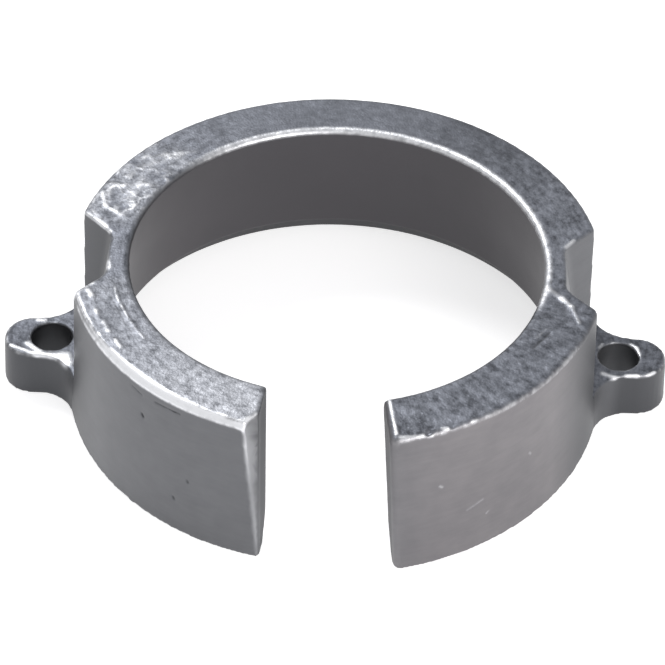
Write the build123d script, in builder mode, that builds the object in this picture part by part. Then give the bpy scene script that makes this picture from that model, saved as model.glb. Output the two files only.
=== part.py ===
"""Collar anode: one tapered ring casting, open at the front, with a screw lug at each side.

Millimetres, +Z up. The origin is on the collar's axis in the plane of its underside, the gap faces -Y
and the two lugs point along -X and +X.
"""
import os
from math import cos, radians, sin, tan

from build123d import *

# Collar
height = 33.2
rim_radius = 53.5  # outside of the top face
rim_width = 12.0  # top face, from the bore to the outside
outer_draft = 3.0  # degrees, wider towards the underside
bore_taper = 10.4  # degrees, the seat opens towards the underside
lip_height = 5.0  # chamfer round the bore's lower edge
lip_width = 4.1
bore_chamfer = 0.8  # broken edge of the bore at the top face
back_rounding = 0.4  # outer edge of the top face, behind the lugs
arm_rounding = 1.0  # the same edge in front of the lugs, more worn

# The arms in front of the lugs are bent a little to +X, each on a curve of its own
left_arm_closing = 1.4  # how much smaller its radius is than the collar's
right_arm_opening = 1.3  # how much larger its radius is
arm_sweep = 80  # degrees of each arm's curve, past the gap's side

# Gap at the front
gap_width = 22.2  # at the bore's top edge
gap_flare = 7.4  # degrees each side, wider towards the outside
gap_draft = 0.5  # degrees each side, wider towards the underside
gap_shift = -1.3  # the gap's centre line at the top face, off the collar's own
gap_lean = 2.2  # degrees, the cut runs over to +X towards the underside

# Fettled corner of the left end, from a wide cut at the top face to nearly nothing at the underside
corner_cut = 2.5  # along the collar's outside
corner_cut_foot = 0.5
corner_cut_slant = 1.8  # length along the end face for each millimetre along the outside
end_rounding = 1.4  # upright edge of the right end, worn round
clear = 1.0  # how far a cut starts outside the face that it opens

# Screw lugs, flush with the underside
screw_spacing = 117.0
screw_hole_radius = 4.2
lug_radius = 6.4
lug_tip = 10.3  # from a screw's centre to the end of its lug
lug_height = 10.2
lug_line = -1.5  # the line through both screws, off the collar's axis
neck_radius = 8.0  # where a lug's sides run out into the collar

# Screwdriver reliefs above the lugs
relief_wall = 4.5  # left between the bore and the relief's floor
relief_floor = 12.8  # width of the floor at the top face
relief_splay = 46.0  # degrees, each side of the relief off the floor's normal
relief_corner = 4.0

bore_radius = rim_radius - rim_width
foot_radius = rim_radius + height * tan(radians(outer_draft))
bore_spread = height * tan(radians(bore_taper))
seat_foot_radius = bore_radius + (height - lip_height) * tan(radians(bore_taper))
land_radius = seat_foot_radius + lip_width
lug_length = screw_spacing + 2 * lug_tip
lug_end = lug_length / 2 - lug_radius


def relief_half_width(distance):
    """Half the relief's width at a distance from the collar's middle, measured along X."""
    return relief_floor / 2 + (distance - bore_radius - relief_wall) * tan(radians(relief_splay))


def gap_half_width(distance):
    """Half the gap's width at the top face, at a distance from the collar's middle along Y."""
    return gap_width / 2 + (distance - bore_radius) * tan(radians(gap_flare))


def lean_of(edge):
    """How upright an edge is: 1 along Z, 0 level."""
    return abs(edge.tangent_at(0.5).Z)


def collar_section(rounding):
    """The collar's section at +X, with its outer top edge rounded."""
    with BuildSketch(Plane.XZ) as section:
        with BuildLine():
            Polyline(
                (bore_radius, height),
                (rim_radius, height),
                (foot_radius, 0),
                (land_radius, 0),
                (seat_foot_radius, lip_height),
                close=True,
            )
        make_face()
        chamfer(section.vertices().group_by(Axis.Y)[-1].sort_by(Axis.X)[0], bore_chamfer)
        fillet(section.vertices().group_by(Axis.Y)[-1].sort_by(Axis.X)[-1], rounding)
    return section.sketch


def collar_outline(radius):
    """The collar in plan, filled, out to a radius: its back and its two arms."""
    with BuildSketch() as outline:
        with BuildLine():
            CenterArc((0, 0), radius, 0, 180)
            left = CenterArc((-left_arm_closing, 0), radius - left_arm_closing, 180, arm_sweep)
            right = CenterArc((-right_arm_opening, 0), radius + right_arm_opening, -arm_sweep, arm_sweep)
            Line(left @ 1, right @ 0)
        make_face()
    return outline.sketch


lean = tan(radians(gap_lean))
gap_plane = Plane(origin=(gap_shift, 0, height), x_dir=(1, 0, lean), z_dir=(-lean, 0, 1))

# The relief's space: a splayed slot, up to a floor that follows the bore at an even wall
with BuildPart() as relief:
    with BuildSketch(Plane.XY.offset(lug_height)):
        with BuildLine():
            Polyline(
                (bore_radius, -relief_half_width(bore_radius)),
                (lug_length / 2, -relief_half_width(lug_length / 2)),
                (lug_length / 2, relief_half_width(lug_length / 2)),
                (bore_radius, relief_half_width(bore_radius)),
                close=True,
            )
        make_face()
    extrude(amount=height)
    with BuildSketch(Plane.XZ):
        with BuildLine():
            Polyline(
                (0, 0),
                (bore_radius + relief_wall + bore_spread, 0),
                (bore_radius + relief_wall - bore_spread, 2 * height),
                (0, 2 * height),
                close=True,
            )
        make_face()
    revolve(axis=Axis.Z, mode=Mode.SUBTRACT)
    floor_sides = relief.faces().filter_by(GeomType.CONE).edges()
    fillet(floor_sides.filter_by(lambda e: lean_of(e) > 0.5), relief_corner)

# The left arm is made at +X and then mirrored across
with BuildPart() as left_arm:
    axis = Axis((left_arm_closing, 0, 0), (0, 0, -1))
    revolve(collar_section(arm_rounding), axis=axis, revolution_arc=arm_sweep)
    mirror(about=Plane.YZ, mode=Mode.REPLACE)

with BuildPart() as anode:
    revolve(collar_section(back_rounding), axis=Axis.Z, revolution_arc=180)
    axis = Axis((-right_arm_opening, 0, 0), (0, 0, -1))
    revolve(collar_section(arm_rounding), axis=axis, revolution_arc=arm_sweep)
    add(left_arm.part)

    # Both lugs are the ends of one slot across the collar, drafted with its outside
    with BuildSketch() as lug_plan:
        add(collar_outline(foot_radius))
        with Locations((0, lug_line)):
            SlotCenterToCenter(2 * lug_end, 2 * lug_radius)
        necks = lug_plan.vertices().filter_by(lambda v: abs(v.Y - lug_line) < lug_radius + 0.01)
        fillet(necks.filter_by(lambda v: abs(v.X) < lug_end - 0.01), neck_radius)
        add(collar_outline((foot_radius + land_radius) / 2), mode=Mode.SUBTRACT)
    extrude(amount=lug_height, taper=outer_draft)
    with Locations((-screw_spacing / 2, lug_line), (screw_spacing / 2, lug_line)):
        Hole(screw_hole_radius)

    with Locations((0, lug_line)):
        add(relief.part, mode=Mode.SUBTRACT)
        add(relief.part.rotate(Axis.Z, 180), mode=Mode.SUBTRACT)

    # The gap is one leaning wedge, started above the top face so that it clears it
    with BuildSketch(gap_plane.offset(rim_width)):
        with BuildLine():
            Polyline(
                (-gap_half_width(0), 0),
                (-gap_half_width(lug_length / 2), -lug_length / 2),
                (gap_half_width(lug_length / 2), -lug_length / 2),
                (gap_half_width(0), 0),
                close=True,
            )
        make_face()
    extrude(amount=-height - 2 * rim_width, taper=-gap_draft, mode=Mode.SUBTRACT)

    # Outer upright edges of the two ends
    uprights = anode.edges().filter_by(lambda e: e.bounding_box().min.Y < -land_radius and lean_of(e) > 0.7)
    fillet(uprights.sort_by(Axis.X)[-1], end_rounding)

    # The cut corner is a wedge that narrows downwards, set on the corner's own edge
    corner_edge = uprights.sort_by(Axis.X)[0]
    foot, top = sorted((corner_edge @ 0, corner_edge @ 1), key=lambda point: point.Z)
    for level in (-clear, height + clear):
        corner = foot + (top - foot) * ((level - foot.Z) / (top.Z - foot.Z))
        outward = Vector(corner.X, corner.Y, 0).normalized()
        cut = corner_cut_foot + (corner_cut - corner_cut_foot) * level / height
        along_wall = Vector(outward.Y, -outward.X, 0) * cut
        along_end = Vector(sin(radians(gap_flare)), cos(radians(gap_flare)), 0) * cut * corner_cut_slant
        with BuildSketch(Plane.XY.offset(level)):
            with BuildLine():
                points = (corner + along_wall, corner + along_end, corner - along_wall - along_end)
                Polyline(*[(point.X, point.Y) for point in points], close=True)
            make_face()
    loft(mode=Mode.SUBTRACT)

anode.part.label = "anode_casting"
os.makedirs("parts", exist_ok=True)
export_step(anode.part, "parts/anode_casting.step")
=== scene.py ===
"""Looks of the collar anode: one cast piece in grey anode alloy, on a plain pale floor.

Metres, +Z up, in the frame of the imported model: the collar's axis is the Z axis and its gap faces -Y.
Angles on the collar are in degrees about that axis, from +X towards +Y: the back is 90, the left lug 180
and the gap 270. The masks on the surface read radii and levels in millimetres.
"""

import bmesh
import bpy
import numpy as np
from math import cos, radians, sin, tan
from mathutils import Matrix, Vector


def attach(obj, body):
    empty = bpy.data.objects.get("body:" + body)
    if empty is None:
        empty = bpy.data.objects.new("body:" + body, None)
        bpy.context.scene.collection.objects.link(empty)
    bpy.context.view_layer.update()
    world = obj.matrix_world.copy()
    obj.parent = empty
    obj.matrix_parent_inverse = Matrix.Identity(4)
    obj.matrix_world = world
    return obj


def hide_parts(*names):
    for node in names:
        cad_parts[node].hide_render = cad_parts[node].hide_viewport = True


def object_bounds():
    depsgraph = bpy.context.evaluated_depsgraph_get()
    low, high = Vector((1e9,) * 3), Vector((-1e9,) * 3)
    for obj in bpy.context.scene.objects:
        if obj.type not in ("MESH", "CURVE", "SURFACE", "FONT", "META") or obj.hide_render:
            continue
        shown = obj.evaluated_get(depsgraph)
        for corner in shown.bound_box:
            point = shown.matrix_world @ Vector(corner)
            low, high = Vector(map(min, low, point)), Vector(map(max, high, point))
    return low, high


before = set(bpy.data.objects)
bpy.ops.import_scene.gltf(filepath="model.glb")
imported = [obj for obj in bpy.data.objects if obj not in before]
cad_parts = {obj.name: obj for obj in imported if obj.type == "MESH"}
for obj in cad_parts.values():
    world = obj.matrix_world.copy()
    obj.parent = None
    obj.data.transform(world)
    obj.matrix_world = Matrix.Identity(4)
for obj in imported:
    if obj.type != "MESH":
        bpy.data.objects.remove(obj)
cad_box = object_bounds()

MM = 0.001
NODE = "anode_casting"
SEED = 11

# The casting's round walls, as they were designed
HEIGHT = cad_box[1][2]
RIM_RADIUS = 53.5 * MM
BORE_RADIUS = 41.5 * MM
LEFT_CLOSING = 1.4 * MM  # how much smaller the left arm's radius is than the collar's
RIGHT_OPENING = 1.3 * MM  # how much larger the right arm's is
OUTER_SLOPE = tan(radians(3.0))
BORE_SLOPE = tan(radians(10.4))
RELIEF_WALL = 4.5 * MM
LUG_TOP = 10.2 * MM

# Stretches of the collar, from and to in degrees
SCRAPED_BACK = (136.0, 169.0)
LEFT_RELIEF = (160.0, 196.0)
LEFT_ARM = (192.0, 258.0)
LEFT_BAND = (196.0, 254.0)
INNER_SEAM = (194.5, 217.0)
OUTER_SEAM = (196.0, 218.0)
CORNER_HIGHLIGHT = (252.0, 262.0)
GAP_ENDS = (247.0, 292.0)
RIGHT_ARM = (283.0, 345.0)
RIGHT_EDGE = (285.0, 336.0)
MM_PER_DEGREE = 0.84  # along the middle of the top face

# Surface mesh
CELL = 0.34 * MM
FACET_SAG = 0.06 * MM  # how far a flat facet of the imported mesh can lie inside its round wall
TRIANGLES = 195000

# Heights of what lies on the skin, in mm
WALL_WAVE = 0.04
RIPPLE_HEIGHT = 0.06
SCRAPE_HEIGHT = 0.10
SEAM_HEIGHT = 0.24
BAND_DEPTH = 0.35

# Photograph's camera
VIEW_AZIMUTH = radians(0.917)
VIEW_ELEVATION = radians(41.466)
VIEW_ROLL = radians(1.414)
VIEW_DISTANCE = 10.057 * RIM_RADIUS
VIEW_AIM_RIGHT = -0.0065 * RIM_RADIUS
VIEW_AIM_UP = 0.1773 * RIM_RADIUS
SENSOR = 36.0
PHOTO_SIDE = 665
FOCAL_PIXELS = 2568

# Floor
FLOOR_SIDE = 6.0
FLOOR_CLEARANCE = 0.02 * MM


def on_collar(angle, radius, level):
    """A place on the casting in metres, from an angle in degrees, and a radius and a level in mm."""
    return Vector((radius * cos(radians(angle)), radius * sin(radians(angle)), level)) * MM


def on_lug(x, y):
    """A place on a lug's top face in metres, from mm."""
    return Vector((x, y, LUG_TOP / MM)) * MM


# Marks of casting and handling, and painted highlights and shade: from, to, half width in mm,
# height in mm, and gleam, which is about 1 for bare metal and painted highlights and -1 for grime and
# painted shade. A mark's place in the list picks its noise, so a new one goes to the end.
TOP = HEIGHT / MM
MARKS = (
    # Edges of the left relief, with painted highlights along them
    (on_collar(168, 53.3, TOP), on_collar(173.5, 46.8, TOP), 0.55, 0.10, 0.75),
    (on_collar(185.5, 46.2, TOP), on_collar(187.5, 46.0, TOP), 0.8, 0.10, 0.7),
    (on_collar(195.0, 50.6, TOP), on_collar(197.0, 50.2, TOP), 0.6, 0.10, 0.7),
    # Edges of the right relief, with painted highlights along them
    (on_collar(349.0, 43.3, TOP), on_collar(346.5, 46.0, TOP), 0.8, 0.10, 0.5),
    (on_collar(346.5, 46.0, TOP), on_collar(344.2, 48.4, TOP), 0.6, 0.25, 0.8),
    (on_collar(344.2, 48.4, TOP), on_collar(339.4, 51.2, TOP), 0.4, 0.22, 0.6),
    (on_collar(6.6, 46.4, TOP), on_collar(9.0, 48.4, TOP), 0.45, 0.10, 0.7),
    # Crease on the right arm: painted shade in its groove and a painted highlight beside it
    (on_collar(333.5, 47.0, TOP), on_collar(326.5, 46.4, TOP), 0.35, -0.25, -1.4),
    (on_collar(334.0, 46.1, TOP), on_collar(330.0, 45.6, TOP), 0.5, 0.12, 0.25),
    # Right end's edges with painted highlights, and the nicks along the right arm's outer edge
    (on_collar(284.9, 42.6, TOP), on_collar(283.9, 52.6, TOP), 0.4, 0.12, 0.8),
    (on_collar(284.6, 53.6, TOP), on_collar(287.0, 54.0, TOP), 0.5, 0.0, 0.8),
    (on_collar(287.8, 54.2, TOP), on_collar(289.0, 54.2, TOP), 0.4, 0.25, 0.7),
    (on_collar(290.0, 53.9, TOP), on_collar(290.6, 53.6, TOP), 0.4, -0.45, -0.9),
    (on_collar(293.2, 53.4, TOP), on_collar(294.4, 53.8, TOP), 0.3, 0.20, 0.6),
    (on_collar(295.4, 53.6, TOP), on_collar(296.0, 53.2, TOP), 0.35, -0.35, -0.8),
    (on_collar(300.0, 54.0, TOP), on_collar(301.2, 54.2, TOP), 0.35, 0.22, 0.6),
    # Scratches and pits in the left arm's wall
    (on_collar(224.5, 53.3, 30.2), on_collar(227.4, 53.2, 29.6), 0.3, -0.10, -1.1),
    (on_collar(231.2, 53.1, 29.9), on_collar(237.6, 53.0, 30.2), 0.35, -0.12, -1.2),
    (on_collar(227.5, 53.5, 24.8), on_collar(227.8, 53.5, 24.4), 0.5, -0.18, -1.3),
    (on_collar(239.7, 53.8, 14.2), on_collar(239.8, 53.8, 13.8), 0.45, -0.15, -1.1),
    (on_collar(236.3, 54.2, 8.3), on_collar(236.4, 54.2, 7.9), 0.5, -0.15, -1.1),
    # Bright scratches on the right arm's wall
    (on_collar(299.1, 55.3, 11.0), on_collar(302.8, 55.2, 12.2), 0.35, 0.08, 0.5),
    (on_collar(303.8, 55.4, 8.0), on_collar(304.3, 55.4, 8.4), 0.35, 0.06, 0.45),
    (on_collar(292.8, 55.0, 19.5), on_collar(293.3, 55.0, 19.1), 0.4, 0.08, 0.6),
    (on_collar(315.0, 54.7, 17.6), on_collar(315.4, 54.7, 17.1), 0.4, 0.06, 0.5),
    # Scrapes at the back left
    (on_collar(151.3, 52.3, TOP), on_collar(137.5, 46.0, TOP), 1.3, 0.05, 0.26),
    (on_collar(144.0, 51.3, TOP), on_collar(133.5, 45.0, TOP), 0.7, 0.05, 0.30),
    (on_collar(159.6, 52.3, TOP), on_collar(164.0, 50.0, TOP), 0.45, 0.10, 0.55),
    (on_collar(164.0, 50.0, TOP), on_collar(166.7, 45.7, TOP), 0.5, 0.10, 0.55),
    (on_collar(157.0, 47.0, TOP), on_collar(163.0, 44.2, TOP), 0.8, 0.08, 0.45),
    (on_collar(156.7, 51.5, TOP), on_collar(152.5, 45.0, TOP), 0.7, 0.08, 0.30),
    # Smears on the left lug
    (on_lug(-66.6, -4.6), on_lug(-60.8, -7.2), 0.45, 0.08, 0.8),
    (on_lug(-60.8, -7.2), on_lug(-55.8, -7.4), 0.8, 0.10, 1.0),
    (on_lug(-55.2, -7.4), on_lug(-54.6, -9.4), 1.3, 0.06, 1.1),
    (on_lug(-63.4, -3.8), on_lug(-60.6, -6.2), 0.65, 0.08, 0.9),
    (on_lug(-61.9, 3.4), on_lug(-60.6, 3.5), 0.6, 0.08, 0.8),
    # Smears on the right lug
    (on_lug(62.4, 1.2), on_lug(62.7, -0.8), 0.5, 0.15, 0.9),
    (on_lug(61.3, 2.4), on_lug(62.2, 1.5), 0.4, 0.10, 0.5),
    (on_lug(55.0, -7.0), on_lug(57.4, -8.2), 0.7, 0.12, 0.8),
    (on_lug(60.0, -7.4), on_lug(62.0, -7.3), 0.5, 0.12, 0.9),
    (on_lug(64.4, -7.0), on_lug(65.6, -6.0), 0.4, 0.10, 0.7),
    (on_lug(54.6, 1.0), on_lug(55.4, 2.2), 0.4, 0.10, 0.6),
    # Painted highlight in a strip beside the left relief's edge
    (on_collar(167.0, 51.6, TOP), on_collar(171.5, 47.6, TOP), 0.55, 0.0, 0.5),
)


class Wire:
    """One output of a node, so that sums on it read as Python."""

    def __init__(self, graph, socket):
        self.graph = graph
        self.socket = socket

    def out(self, name):
        """Another output of the same node."""
        return Wire(self.graph, self.socket.node.outputs[name])

    def maths(self, operation, *terms):
        return self.graph.add("ShaderNodeMath", {"operation": operation}, dict(enumerate(terms)))

    def __add__(self, other):
        return self.maths("ADD", self, other)

    def __radd__(self, other):
        return self.maths("ADD", other, self)

    def __sub__(self, other):
        return self.maths("SUBTRACT", self, other)

    def __rsub__(self, other):
        return self.maths("SUBTRACT", other, self)

    def __mul__(self, other):
        return self.maths("MULTIPLY", self, other)

    def __rmul__(self, other):
        return self.maths("MULTIPLY", other, self)

    def __truediv__(self, other):
        return self.maths("DIVIDE", self, other)

    def __rtruediv__(self, other):
        return self.maths("DIVIDE", other, self)

    def __pow__(self, other):
        return self.maths("POWER", self, other)

    def above(self, low, high):
        """0 below low, 1 above high, with a smooth step between them."""
        settings = {"interpolation_type": "SMOOTHSTEP"}
        inputs = {"Value": self, "From Min": low, "From Max": high, "To Min": 0.0, "To Max": 1.0}
        return self.graph.add("ShaderNodeMapRange", settings, inputs)

    def within(self, low, high, soft):
        """1 between low and high, 0 outside, with smooth steps."""
        return self.above(low - soft, low + soft) * (1.0 - self.above(high - soft, high + soft))

    def hump(self, middle, width):
        """A bell, 1 at its middle."""
        offset = (self - middle) / width
        return self.maths("EXPONENT", offset * offset * -1.0)

    def clamped(self):
        """The value, kept from 0 to 1."""
        return self.maths("MINIMUM", self.maths("MAXIMUM", self, 0.0), 1.0)


class Graph:
    """Adds nodes to one node tree."""

    def __init__(self, tree):
        self.tree = tree

    def add(self, kind, settings=None, inputs=None):
        """A node by its type, with its settings first and then the values or wires of its sockets.

        Gives the first output that the settings leave in use.
        """
        node = self.tree.nodes.new(kind)
        for name, value in (settings or {}).items():
            setattr(node, name, value)
        for name, value in (inputs or {}).items():
            socket = self.socket(node, name)
            if isinstance(value, Wire):
                self.tree.links.new(value.socket, socket)
            else:
                socket.default_value = value
        outputs = [socket for socket in node.outputs if socket.enabled]
        return Wire(self, outputs[0]) if outputs else node

    def socket(self, node, name):
        """A node's input, by its number or by its name among those in use."""
        if isinstance(name, int):
            return node.inputs[name]
        return next(socket for socket in node.inputs if socket.enabled and socket.name == name)

    def mix(self, factor, first, second):
        """A colour between two colours."""
        return self.add("ShaderNodeMix", {"data_type": "RGBA"}, {"Factor": factor, "A": first, "B": second})

    def vector(self, operation, *terms):
        return self.add("ShaderNodeVectorMath", {"operation": operation}, dict(enumerate(terms)))

    def scaled(self, vector, factor):
        return self.add("ShaderNodeVectorMath", {"operation": "SCALE"}, {0: vector, "Scale": factor})

    def joined(self, x, y, z):
        """A place from three measures."""
        return self.add("ShaderNodeCombineXYZ", inputs={"X": x, "Y": y, "Z": z})

    def noise(self, place, size, detail=2.0, roughness=0.5, seed=0.0, swirl=0.0):
        """A noise from about -1 to 1 whose lumps measure about the given size."""
        inputs = {
            "Vector": place,
            "W": seed,
            "Scale": 1.0 / size,
            "Detail": detail,
            "Roughness": roughness,
            "Distortion": swirl,
        }
        return 2.0 * self.add("ShaderNodeTexNoise", {"noise_dimensions": "4D"}, inputs) - 1.0

    def polar(self, place):
        """The angle in degrees, the radius and the level in mm of a place on the collar."""
        parts = self.add("ShaderNodeSeparateXYZ", inputs={"Vector": place})
        x, y, level = parts.out("X") / MM, parts.out("Y") / MM, parts.out("Z") / MM
        turn = x.maths("DEGREES", x.maths("ARCTAN2", y, x))
        return turn.maths("FLOORED_MODULO", turn, 360.0), (x * x + y * y) ** 0.5, level


def cleared(owner):
    """The empty node graph of a new material or world."""
    owner.use_nodes = True
    owner.node_tree.nodes.clear()
    return Graph(owner.node_tree)


def grey(value, blue=0.0):
    """A grey with a little blue in it."""
    return (value * (1 - 0.5 * blue), value * (1 - 0.1 * blue), value * (1 + blue), 1.0)


def casting_alloy():
    """Grey anode alloy: satin drafted walls, a grained top, worn edges, and painted light and shade."""
    dark_wall, light_wall = grey(0.126, 0.06), grey(0.165, 0.05)
    # Painted light: the lighter, warmer greys of the right arm's walls
    dark_lit_wall, light_lit_wall = (0.172, 0.166, 0.176, 1.0), (0.246, 0.236, 0.242, 1.0)
    # The tops' blue tint is a painted reflection of bluish surroundings
    dark_top, light_top = grey(0.045, 0.2), grey(0.175, 0.15)
    dark_scuff, light_scuff = grey(0.15, 0.1), grey(0.50, 0.06)
    # Painted shade: a grey for the walls beside the lugs and the lugs, and one for inside the bore
    side_shade_grey, bore_shade_grey = grey(0.080, 0.07), (0.083, 0.079, 0.086, 1.0)
    bare_metal_and_highlight, grime_and_shade = grey(0.78, 0.03), grey(0.045, 0.1)

    material = bpy.data.materials.new("casting_alloy")
    paint = cleared(material)
    place = paint.add("ShaderNodeTexCoord").out("Object")
    angle, radius, level = paint.polar(place)
    on_lugs = radius.above(57.0, 60.0)

    def stored(name):
        return paint.add("ShaderNodeAttribute", {"attribute_name": name}).out("Fac")

    grained, scuffed, shine, bore = (stored(name) for name in ("grained", "scuffed", "shine", "bore"))

    # Walls: satin, with faint flow marks along the casting. Painted light, as from the front right, makes
    # the right arm's walls lighter and warmer
    along = paint.joined(angle * 0.16, level, radius * 0.1)
    flow = paint.noise(along, 0.9, detail=3.0, roughness=0.6)
    cloud = paint.noise(place, 14 * MM, detail=2.0)
    patches = paint.noise(place, 4 * MM, detail=3.0, seed=6.0)
    uneven = (0.5 + 0.3 * flow + 0.4 * cloud + 0.4 * patches).clamped()
    dull_wall = paint.mix(uneven, dark_wall, light_wall)
    painted_lit_wall = paint.mix(uneven, dark_lit_wall, light_lit_wall)
    wall = paint.mix(angle.within(282.0, 334.0, 14.0), dull_wall, painted_lit_wall)

    # Painted shade darkens the walls beside the lugs and the lugs' own
    side_shade = angle.within(164.0, 203.0, 9.0) + angle.within(331.0, 350.0, 10.0) + 0.65 * on_lugs
    wall = paint.mix(side_shade.clamped(), wall, side_shade_grey)

    # Top faces: mottled, with a cool tint that is a painted reflection, and with streaks round the ring,
    # which run across it on the right arm
    rings = paint.joined(angle * 0.3, radius, level * 0.3)
    streak = paint.noise(rings, 1.1, detail=3.0, roughness=0.6, seed=1.0)
    spokes = paint.joined(angle * MM_PER_DEGREE, radius * 0.35, level * 0.3)
    crossing = paint.noise(spokes, 1.2, detail=3.0, roughness=0.6, seed=4.0)
    streak = streak + angle.within(*RIGHT_ARM, 3.0) * (1.2 * crossing - streak)
    grain = paint.noise(place, 1.4 * MM, detail=3.0, roughness=0.65, seed=2.0)
    mottle = paint.noise(place, 6 * MM, detail=2.0, seed=3.0)
    calm = angle.within(40.0, 128.0, 20.0)
    pattern = (grain * 1.1 + streak * 0.8) * (1.0 - 0.6 * calm)
    # Painted shade: the tops are darker round the back right and on the lugs
    painted_top_shade = 0.27 * angle.hump(50.0, 15.0) + 0.2 * on_lugs
    dull_top = paint.mix((0.5 + pattern + 0.35 * mottle - painted_top_shade).clamped(), dark_top, light_top)
    bright_top = paint.mix((0.5 + pattern).clamped(), dark_scuff, light_scuff)
    top = paint.mix(scuffed, dull_top, bright_top)

    colour = paint.mix(grained, wall, top)
    # Painted shade inside the bore
    colour = paint.mix(bore, colour, bore_shade_grey)
    # Bare metal and painted highlights where the shine is high, grime and painted shade where it is low
    colour = paint.mix(shine.above(0.05, 0.9), colour, bare_metal_and_highlight)
    colour = paint.mix((0.0 - shine).above(0.1, 1.0), colour, grime_and_shade)

    fine = paint.noise(place, 0.45 * MM, detail=2.0, seed=5.0)
    inputs = {"Strength": 0.5, "Distance": 0.08 * MM, "Height": fine * (0.1 + 0.9 * grained)}
    bump = paint.add("ShaderNodeBump", inputs=inputs)
    roughness = 0.45 + 0.06 * cloud - 0.12 * shine.above(0.0, 1.0) + 0.4 * (0.0 - shine).above(0.3, 1.0)
    inputs = {"Base Color": colour, "Metallic": 0.75, "Roughness": roughness, "Normal": bump}
    shader = paint.add("ShaderNodeBsdfPrincipled", inputs=inputs)
    paint.add("ShaderNodeOutputMaterial", inputs={"Surface": shader})
    return material


def fresh_object(name, data):
    item = bpy.data.objects.new(name, data)
    bpy.context.scene.collection.objects.link(item)
    return item


def settle(item, name):
    """The object's modifiers, made a plain mesh of their own."""
    graph = bpy.context.evaluated_depsgraph_get()
    mesh = bpy.data.meshes.new_from_object(item.evaluated_get(graph))
    mesh.name = name
    item.modifiers.clear()
    item.data = mesh


def merged_copy(node, name):
    """The CAD node's faces as one closed skin, in a piece of its own."""
    mesh = node.data.copy()
    mesh.name = name
    body = bmesh.new()
    body.from_mesh(mesh)
    bmesh.ops.remove_doubles(body, verts=body.verts, dist=0.001 * MM)
    body.to_mesh(mesh)
    body.free()
    mesh.materials.clear()
    return fresh_object(name, mesh)


def read_vectors(items, name):
    values = np.empty(3 * len(items))
    items.foreach_get(name, values)
    return values.reshape(-1, 3)


def true_round(mesh):
    """Moves what lies on a flat facet out to the round wall that the facet stands for."""
    points = read_vectors(mesh.vertices, "co")
    normals = read_vectors(mesh.vertex_normals, "vector")
    front = points[:, 1] < 0
    growth = np.where(front, np.where(points[:, 0] < 0, -LEFT_CLOSING, RIGHT_OPENING), 0.0)
    down = HEIGHT - points[:, 2]
    bore = BORE_RADIUS + down * BORE_SLOPE
    walls = (
        (RIM_RADIUS + growth + down * OUTER_SLOPE, -np.abs(growth), 1),
        (bore + growth, -np.abs(growth), -1),
        (bore + RELIEF_WALL, 0 * growth, 1),
    )
    for wall, centre, faces in walls:
        across = points[:, 0] - centre
        radius = np.hypot(across, points[:, 1])
        radial = np.column_stack((across, points[:, 1])) / radius[:, None]
        facing = (normals[:, :2] * radial).sum(1) * faces
        nearness = np.clip(2 - np.abs(wall - radius) / FACET_SAG, 0, 1)
        shift = nearness * (facing > 0.9) * (wall - radius)
        points[:, :2] += radial * shift[:, None]
    mesh.vertices.foreach_set("co", points.ravel())
    mesh.update()


class Skin:
    """What each place on the casting's skin knows of itself, in Geometry Nodes."""

    def __init__(self, graph, seed):
        self.graph = graph
        self.seed = seed
        self.place = graph.add("GeometryNodeInputPosition")
        self.normal = graph.add("GeometryNodeInputNormal")
        self.angle, self.radius, self.level = graph.polar(self.place)
        self.rise = graph.add("ShaderNodeSeparateXYZ", inputs={"Vector": self.normal}).out("Z")
        outward = graph.vector("NORMALIZE", graph.vector("MULTIPLY", self.place, (1.0, 1.0, 0.0)))
        self.facing = graph.vector("DOT_PRODUCT", outward, self.normal)
        self.upward = self.blurred(self.rise.above(0.55, 0.9), 2)
        self.rim = self.level.above(24.0, 28.0)
        self.top = self.upward * self.rim
        self.chips = self.lumps(1.6 * MM, 7.7).above(-0.35, 0.25)

    def blurred(self, value, rounds, kind="FLOAT"):
        """A value, averaged with the neighbouring places' a number of times."""
        inputs = {"Value": value, "Iterations": rounds}
        return self.graph.add("GeometryNodeBlurAttribute", {"data_type": kind}, inputs)

    def lumps(self, size, offset, detail=2.0, swirl=0.0):
        """A noise of its own, which its offset from the seed picks."""
        return self.graph.noise(self.place, size, detail, 0.55, self.seed + offset, swirl)

    def curls(self, size, offset):
        """Thin curling lines, 1 on a line: where a noise passes through 0."""
        return self.lumps(size, offset, 1.0, 1.0).hump(0.0, 0.10)


def proud_edges(skin):
    """How far each place stands proud of the skin's average, and the edges that this picks out."""
    stand = skin.graph.vector("SUBTRACT", skin.place, skin.blurred(skin.place, 7, "FLOAT_VECTOR"))
    proud = skin.graph.vector("DOT_PRODUCT", stand, skin.normal) / MM
    return stand, skin.blurred(proud.above(0.02, 0.14), 1)


def bore_wall(skin):
    """The tapered bore, without the broken edge at its top: where the material paints the shade inside the
    bore.
    """
    inward = 0.0 - skin.facing - 0.6 * skin.rise
    return skin.blurred(inward.above(0.5, 0.9), 1) * (1.0 - skin.radius.above(52.0, 54.0))


def bright_band(skin):
    """The band along the left arm's outer edge, widest in its middle, and how deep in it a place lies."""
    from_arm_axis = skin.graph.vector("ADD", skin.place, (LEFT_CLOSING, 0.0, 0.0))
    own_radius = skin.graph.polar(from_arm_axis)[1]
    width = 0.45 + 1.45 * skin.angle.hump(228.0, 15.0) + 0.15 * skin.lumps(3 * MM, 4.4)
    depth = (own_radius - (RIM_RADIUS - LEFT_CLOSING) / MM + width) / width
    sloping = skin.blurred(skin.rise.above(0.1, 0.35), 3)
    return depth.above(0.0, 0.45) * skin.angle.within(*LEFT_BAND, 3.0) * skin.rim * sloping, depth.clamped()


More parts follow.
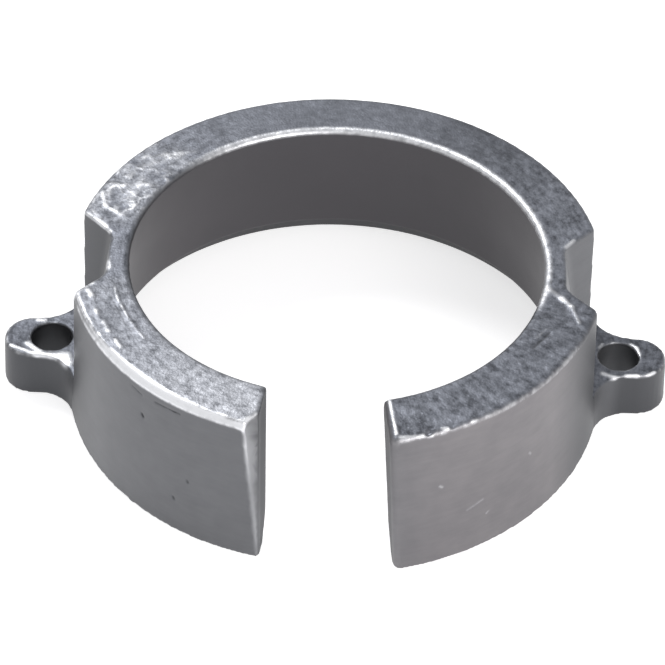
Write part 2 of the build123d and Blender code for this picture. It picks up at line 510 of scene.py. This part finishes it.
def raised_seams(skin):
    """Two broken seams that run round the left arm's top, and the shade beside them."""
    wander = skin.radius + 0.35 * skin.lumps(5 * MM, 6.1)
    inner = wander.hump(45.4, 0.4) * skin.angle.within(*INNER_SEAM, 1.5)
    inner = inner * (0.4 + 0.6 * skin.lumps(2.2 * MM, 10.4).above(-0.35, 0.2))
    outer = wander.hump(50.4, 0.6) * skin.angle.within(*OUTER_SEAM, 2.0)
    outer = outer * skin.lumps(2.5 * MM, 8.2).above(-0.25, 0.3)
    outer_shade = wander.hump(51.7, 0.5) * skin.angle.within(197.0, 216.0, 2.0)
    outer_shade = outer_shade * skin.lumps(2.5 * MM, 8.9).above(-0.3, 0.2)
    inner_shade = wander.hump(46.5, 0.45) * skin.angle.within(196.0, 214.0, 2.0)
    return (inner + outer) * skin.top, (outer_shade + inner_shade) * skin.top


def fine_ripples(skin):
    """Fine crescents across the right arm."""
    off_middle = skin.radius - 47.0
    bow = skin.angle * MM_PER_DEGREE + 0.035 * off_middle * off_middle
    crescent = (bow + 1.1 * skin.lumps(4 * MM, 2.2)) * 3.7
    wave = crescent.maths("SINE", crescent) * skin.lumps(2.2 * MM, 5.5).above(-0.1, 0.5)
    return wave * skin.angle.within(*RIGHT_ARM, 5.0) * skin.top


def rough_scrapes(skin, scraped):
    """Curling scrapes at the back left."""
    heavier = 0.35 + 0.65 * skin.lumps(5 * MM, 15.2).above(-0.2, 0.3)
    curls = skin.curls(4.2 * MM, 9.1) + 0.6 * skin.curls(2.4 * MM, 13.7)
    return curls.clamped() * heavier * scraped * skin.top


def edge_wear_and_highlights(skin, sharp, left_arm):
    """Gleam of the edges, from wear and painted highlights, strongest on the arms' outer edges and the
    bore's broken edge.
    """
    angle, radius, level = skin.angle, skin.radius, skin.level
    # This stretch runs across angle 0, from the right arm's root to the scrapes at the back left
    inner_stretch = (1.0 - angle.above(125.0, 143.0)) + angle.above(336.0, 346.0)
    inner = (1.0 - radius.above(42.7, 43.9)) * level.above(31.8, 32.5) * inner_stretch.clamped()
    right = radius.above(50.0, 51.0) * angle.within(*RIGHT_EDGE, 3.0)
    right = right * (1.0 - 0.8 * skin.blurred(skin.rise.above(0.6, 0.9), 2))
    relief = radius.above(44.5, 45.5) * angle.within(*LEFT_RELIEF, 2.0)
    left = radius.above(48.0, 49.0) * level.above(30.0, 32.0) * left_arm
    collar = skin.rim * (0.1 + 0.3 * inner + 0.6 * right + 0.12 * relief + 0.7 * left)
    lugs = level.within(8.5, 11.5, 0.4) * radius.above(56.8, 57.5) * 0.4
    chipped = sharp * (collar + lugs + 0.06) * (0.35 + 0.65 * skin.chips)
    return chipped + inner * (0.36 + 0.25 * skin.lumps(1.2 * MM, 17.0))


def ends_and_lip(skin):
    """A painted highlight on the left end's corner facet, and painted shade on both ends' faces and under
    the bore's lip.
    """
    steep = skin.rise.within(-0.4, 0.4, 0.1)
    # Painted highlight on the left end's corner facet, brighter towards the top
    corner = skin.blurred(skin.facing.within(0.35, 0.88, 0.1) * steep, 8)
    corner = corner * skin.angle.within(*CORNER_HIGHLIGHT, 1.0)
    # Painted shade on the faces of the gap's two ends
    ends = skin.blurred(skin.facing.within(-0.4, 0.25, 0.1) * steep, 5)
    ends = ends * skin.angle.within(*GAP_ENDS, 2.0)
    # Painted shade under the bore's lip, where the skin faces down
    downward = skin.blurred((0.0 - skin.rise).within(0.4, 0.85, 0.1), 2)
    lip = downward * (1.0 - skin.radius.above(51.5, 52.5))
    return corner * (0.4 + 0.3 * skin.level.above(15.0, 27.0)) - 0.62 * ends - 0.7 * lip


def with_marks(skin, height, shine):
    """The height in metres and the shine, with the single marks added to them."""
    graph = skin.graph
    for number, (start, end, width, raised, gleam) in enumerate(MARKS):
        run = end - start
        from_start = graph.vector("SUBTRACT", skin.place, start)
        reach = graph.vector("DOT_PRODUCT", from_start, run / run.length_squared).clamped()
        miss = graph.vector("LENGTH", graph.vector("SUBTRACT", from_start, graph.scaled(run, reach)))
        uneven = skin.lumps(1.2 * MM, 20.0 + number)
        mark = (miss / MM + 0.7 * width * uneven).hump(0.0, width)
        height = height + mark * (raised * MM)
        shine = shine + mark * gleam * (0.65 + 0.7 * uneven)
    return height, shine


def cast_skin_tree():
    """Geometry Nodes that give a smooth shape the skin of a handled casting."""
    tree = bpy.data.node_groups.new("cast_skin", "GeometryNodeTree")
    interface = tree.interface
    interface.new_socket("Geometry", in_out="INPUT", socket_type="NodeSocketGeometry")
    for name in ("Grain Size", "Grain Height", "Lump Size", "Lump Height", "Edge Rounding"):
        interface.new_socket(name, in_out="INPUT", socket_type="NodeSocketFloat")
    interface.new_socket("Seed", in_out="INPUT", socket_type="NodeSocketInt")
    interface.new_socket("Finish", in_out="INPUT", socket_type="NodeSocketMaterial")
    interface.new_socket("Geometry", in_out="OUTPUT", socket_type="NodeSocketGeometry")
    graph = Graph(tree)
    given = graph.add("NodeGroupInput")
    skin = Skin(graph, given.out("Seed"))

    left_arm = skin.angle.within(*LEFT_ARM, 4.0)
    scraped = skin.angle.within(*SCRAPED_BACK, 4.0)
    stand, sharp = proud_edges(skin)
    band, into_band = bright_band(skin)
    seams, shade = raised_seams(skin)
    ripples = fine_ripples(skin)
    scrapes = rough_scrapes(skin, scraped)
    grained = skin.upward * skin.level.above(8.0, 9.5) * (1.0 - 0.8 * band)

    # Shape
    grain = skin.lumps(given.out("Grain Size"), 0.3) * given.out("Grain Height")
    lump = skin.lumps(given.out("Lump Size"), 1.7) * given.out("Lump Height")
    height = grained * (grain + lump) + skin.lumps(11 * MM, 3.1, 1.0) * (WALL_WAVE * MM)
    raised = RIPPLE_HEIGHT * ripples + SCRAPE_HEIGHT * scrapes + SEAM_HEIGHT * seams
    height = height + (raised - BAND_DEPTH * band * into_band) * MM
    rounded = graph.scaled(stand, sharp * given.out("Edge Rounding") * -1.0)

    # Brightness, from grime and painted shade at -1 to bare metal and painted highlights at 1
    shine = edge_wear_and_highlights(skin, sharp, left_arm) + ends_and_lip(skin)
    # The band along the left arm's outer edge is whitened, less so near its start
    shine = shine + band * (0.75 + 0.15 * skin.chips) * (0.4 + 0.6 * skin.angle.above(203.0, 221.0))
    shine = shine + 0.34 * seams - 0.45 * shade + 0.34 * scrapes
    scuffed = left_arm * (0.20 + 0.42 * skin.angle.above(205.0, 250.0))
    scuffed = scuffed + scraped * (0.2 + 0.7 * skin.lumps(3.5 * MM, 12.0))
    scuffed = (scuffed + 0.04).clamped() * skin.top

    height, shine = with_marks(skin, height, shine)
    push = graph.vector("ADD", graph.scaled(skin.normal, height), rounded)
    shape = graph.add("GeometryNodeSetPosition", inputs={"Geometry": given.out("Geometry"), "Offset": push})
    stored = {"grained": grained, "scuffed": scuffed, "shine": shine, "bore": bore_wall(skin)}
    for name, value in stored.items():
        inputs = {"Geometry": shape, "Name": name, "Value": value}
        settings = {"data_type": "FLOAT", "domain": "POINT"}
        shape = graph.add("GeometryNodeStoreNamedAttribute", settings, inputs)
    shape = graph.add("GeometryNodeSetShadeSmooth", inputs={0: shape})
    shape = graph.add("GeometryNodeRealizeInstances", inputs={0: shape})
    shape = graph.add("GeometryNodeSetMaterial", inputs={"Geometry": shape, "Material": given.out("Finish")})
    graph.add("NodeGroupOutput", inputs={0: shape})
    return tree


def set_inputs(modifier, values):
    """Sets a Geometry Nodes modifier's inputs by their names."""
    for item in modifier.node_group.interface.items_tree:
        if item.item_type == "SOCKET" and item.in_out == "INPUT" and item.name in values:
            modifier[item.identifier] = values[item.name]


def casting():
    """The whole anode, as one closed skin."""
    piece = merged_copy(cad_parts[NODE], "casting")
    remesh = piece.modifiers.new("even_cells", "REMESH")
    remesh.mode = "VOXEL"
    remesh.voxel_size = CELL * 1
    settle(piece, "casting")
    true_round(piece.data)

    modifier = piece.modifiers.new("cast_skin", "NODES")
    modifier.node_group = cast_skin_tree()
    sizes = {
        "Grain Size": 1.2 * MM,
        "Grain Height": 0.07 * MM,
        "Lump Size": 4.5 * MM,
        "Lump Height": 0.10 * MM,
        "Edge Rounding": 0.6,
        "Seed": SEED,
        "Finish": casting_alloy(),
    }
    set_inputs(modifier, sizes)
    settle(piece, "casting")
    triangles = sum(len(face.vertices) - 2 for face in piece.data.polygons)
    if triangles > TRIANGLES:
        thin = piece.modifiers.new("thin_out", "DECIMATE")
        thin.ratio = TRIANGLES / triangles
        settle(piece, "casting")
    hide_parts(NODE)
    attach(piece, "root")


def photo_camera():
    """The photograph's view: the camera looks along +Y and down, a little rolled."""
    e, a, roll = VIEW_ELEVATION, VIEW_AZIMUTH, VIEW_ROLL
    back = Vector((sin(a) * cos(e), -cos(a) * cos(e), sin(e)))
    level = Vector((cos(a), sin(a), 0.0))
    upright = back.cross(level)
    right = cos(roll) * level + sin(roll) * upright
    up = -sin(roll) * level + cos(roll) * upright
    camera = fresh_object("camera", bpy.data.cameras.new("camera"))
    camera.data.sensor_width = SENSOR
    camera.data.lens = SENSOR * FOCAL_PIXELS / PHOTO_SIDE
    camera.data.clip_start = 0.05
    camera.data.clip_end = 20.0
    spot = right * VIEW_AIM_RIGHT + up * VIEW_AIM_UP + back * VIEW_DISTANCE
    camera.matrix_world = Matrix.Translation(spot) @ Matrix((right, up, back)).transposed().to_4x4()
    bpy.context.scene.camera = camera


def lamp(name, azimuth, elevation, distance, size, power, colour=(1.0, 1.0, 1.0)):
    """A soft square lamp that faces the collar. Azimuth 0 is at the camera's side, 90 at +X."""
    data = bpy.data.lights.new(name, "AREA")
    data.shape = "SQUARE"
    data.size = size
    data.energy = power
    data.color = colour
    item = fresh_object(name, data)
    a, e = radians(azimuth), radians(elevation)
    aim = Vector((sin(a) * cos(e), -cos(a) * cos(e), sin(e)))
    item.matrix_world = Matrix.Translation(aim * distance) @ aim.to_track_quat("Z", "Y").to_matrix().to_4x4()


def background_rays(graph):
    """1 for the rays that show the background: those of the camera, of gloss and of glass."""
    rays = graph.add("ShaderNodeLightPath")
    seen = rays.maths("MAXIMUM", rays.out("Is Camera Ray"), rays.out("Is Glossy Ray"))
    return seen.maths("MAXIMUM", seen, rays.out("Is Transmission Ray"))


def white_world():
    """A soft grey light from all round, which the camera sees as white."""
    world = bpy.data.worlds.new("studio")
    bpy.context.scene.world = world
    sky = cleared(world)
    ambient = sky.add("ShaderNodeBackground", inputs={"Color": (0.45, 0.45, 0.47, 1.0), "Strength": 1.0})
    white = sky.add("ShaderNodeBackground", inputs={"Color": (1.0, 1.0, 1.0, 1.0), "Strength": 1.0})
    both = sky.add("ShaderNodeMixShader", inputs={0: background_rays(sky), 1: ambient, 2: white})
    sky.add("ShaderNodeOutputWorld", inputs={"Surface": both})


def pale_floor():
    """A floor that shows as white but for the casting's shadow."""
    material = bpy.data.materials.new("pale_floor")
    ground = cleared(material)
    lit = ground.add("ShaderNodeBsdfDiffuse", inputs={"Color": (0.75, 0.75, 0.75, 1.0)})
    glow = ground.add("ShaderNodeEmission", inputs={"Color": (0.68, 0.68, 0.68, 1.0)})
    both = ground.add("ShaderNodeAddShader", inputs={0: lit, 1: glow})
    surface = ground.add("ShaderNodeMixShader", inputs={0: background_rays(ground), 1: lit, 2: both})
    ground.add("ShaderNodeOutputMaterial", inputs={"Surface": surface})

    mesh = bpy.data.meshes.new("floor")
    half = FLOOR_SIDE / 2
    level = cad_box[0][2] - FLOOR_CLEARANCE
    corners = [(-half, -half, level), (half, -half, level), (half, half, level), (-half, half, level)]
    mesh.from_pydata(corners, [], [(0, 1, 2, 3)])
    mesh.materials.append(material)
    fresh_object("floor", mesh)


def main():
    bpy.context.scene.view_settings.view_transform = "Standard"
    photo_camera()
    white_world()
    lamp("key_lamp", azimuth=-150, elevation=52, distance=0.9, size=0.3, power=4.0)
    lamp("fill_lamp", azimuth=35, elevation=30, distance=1.0, size=0.6, power=5.0, colour=(1.0, 0.97, 0.96))
    pale_floor()
    casting()


main()
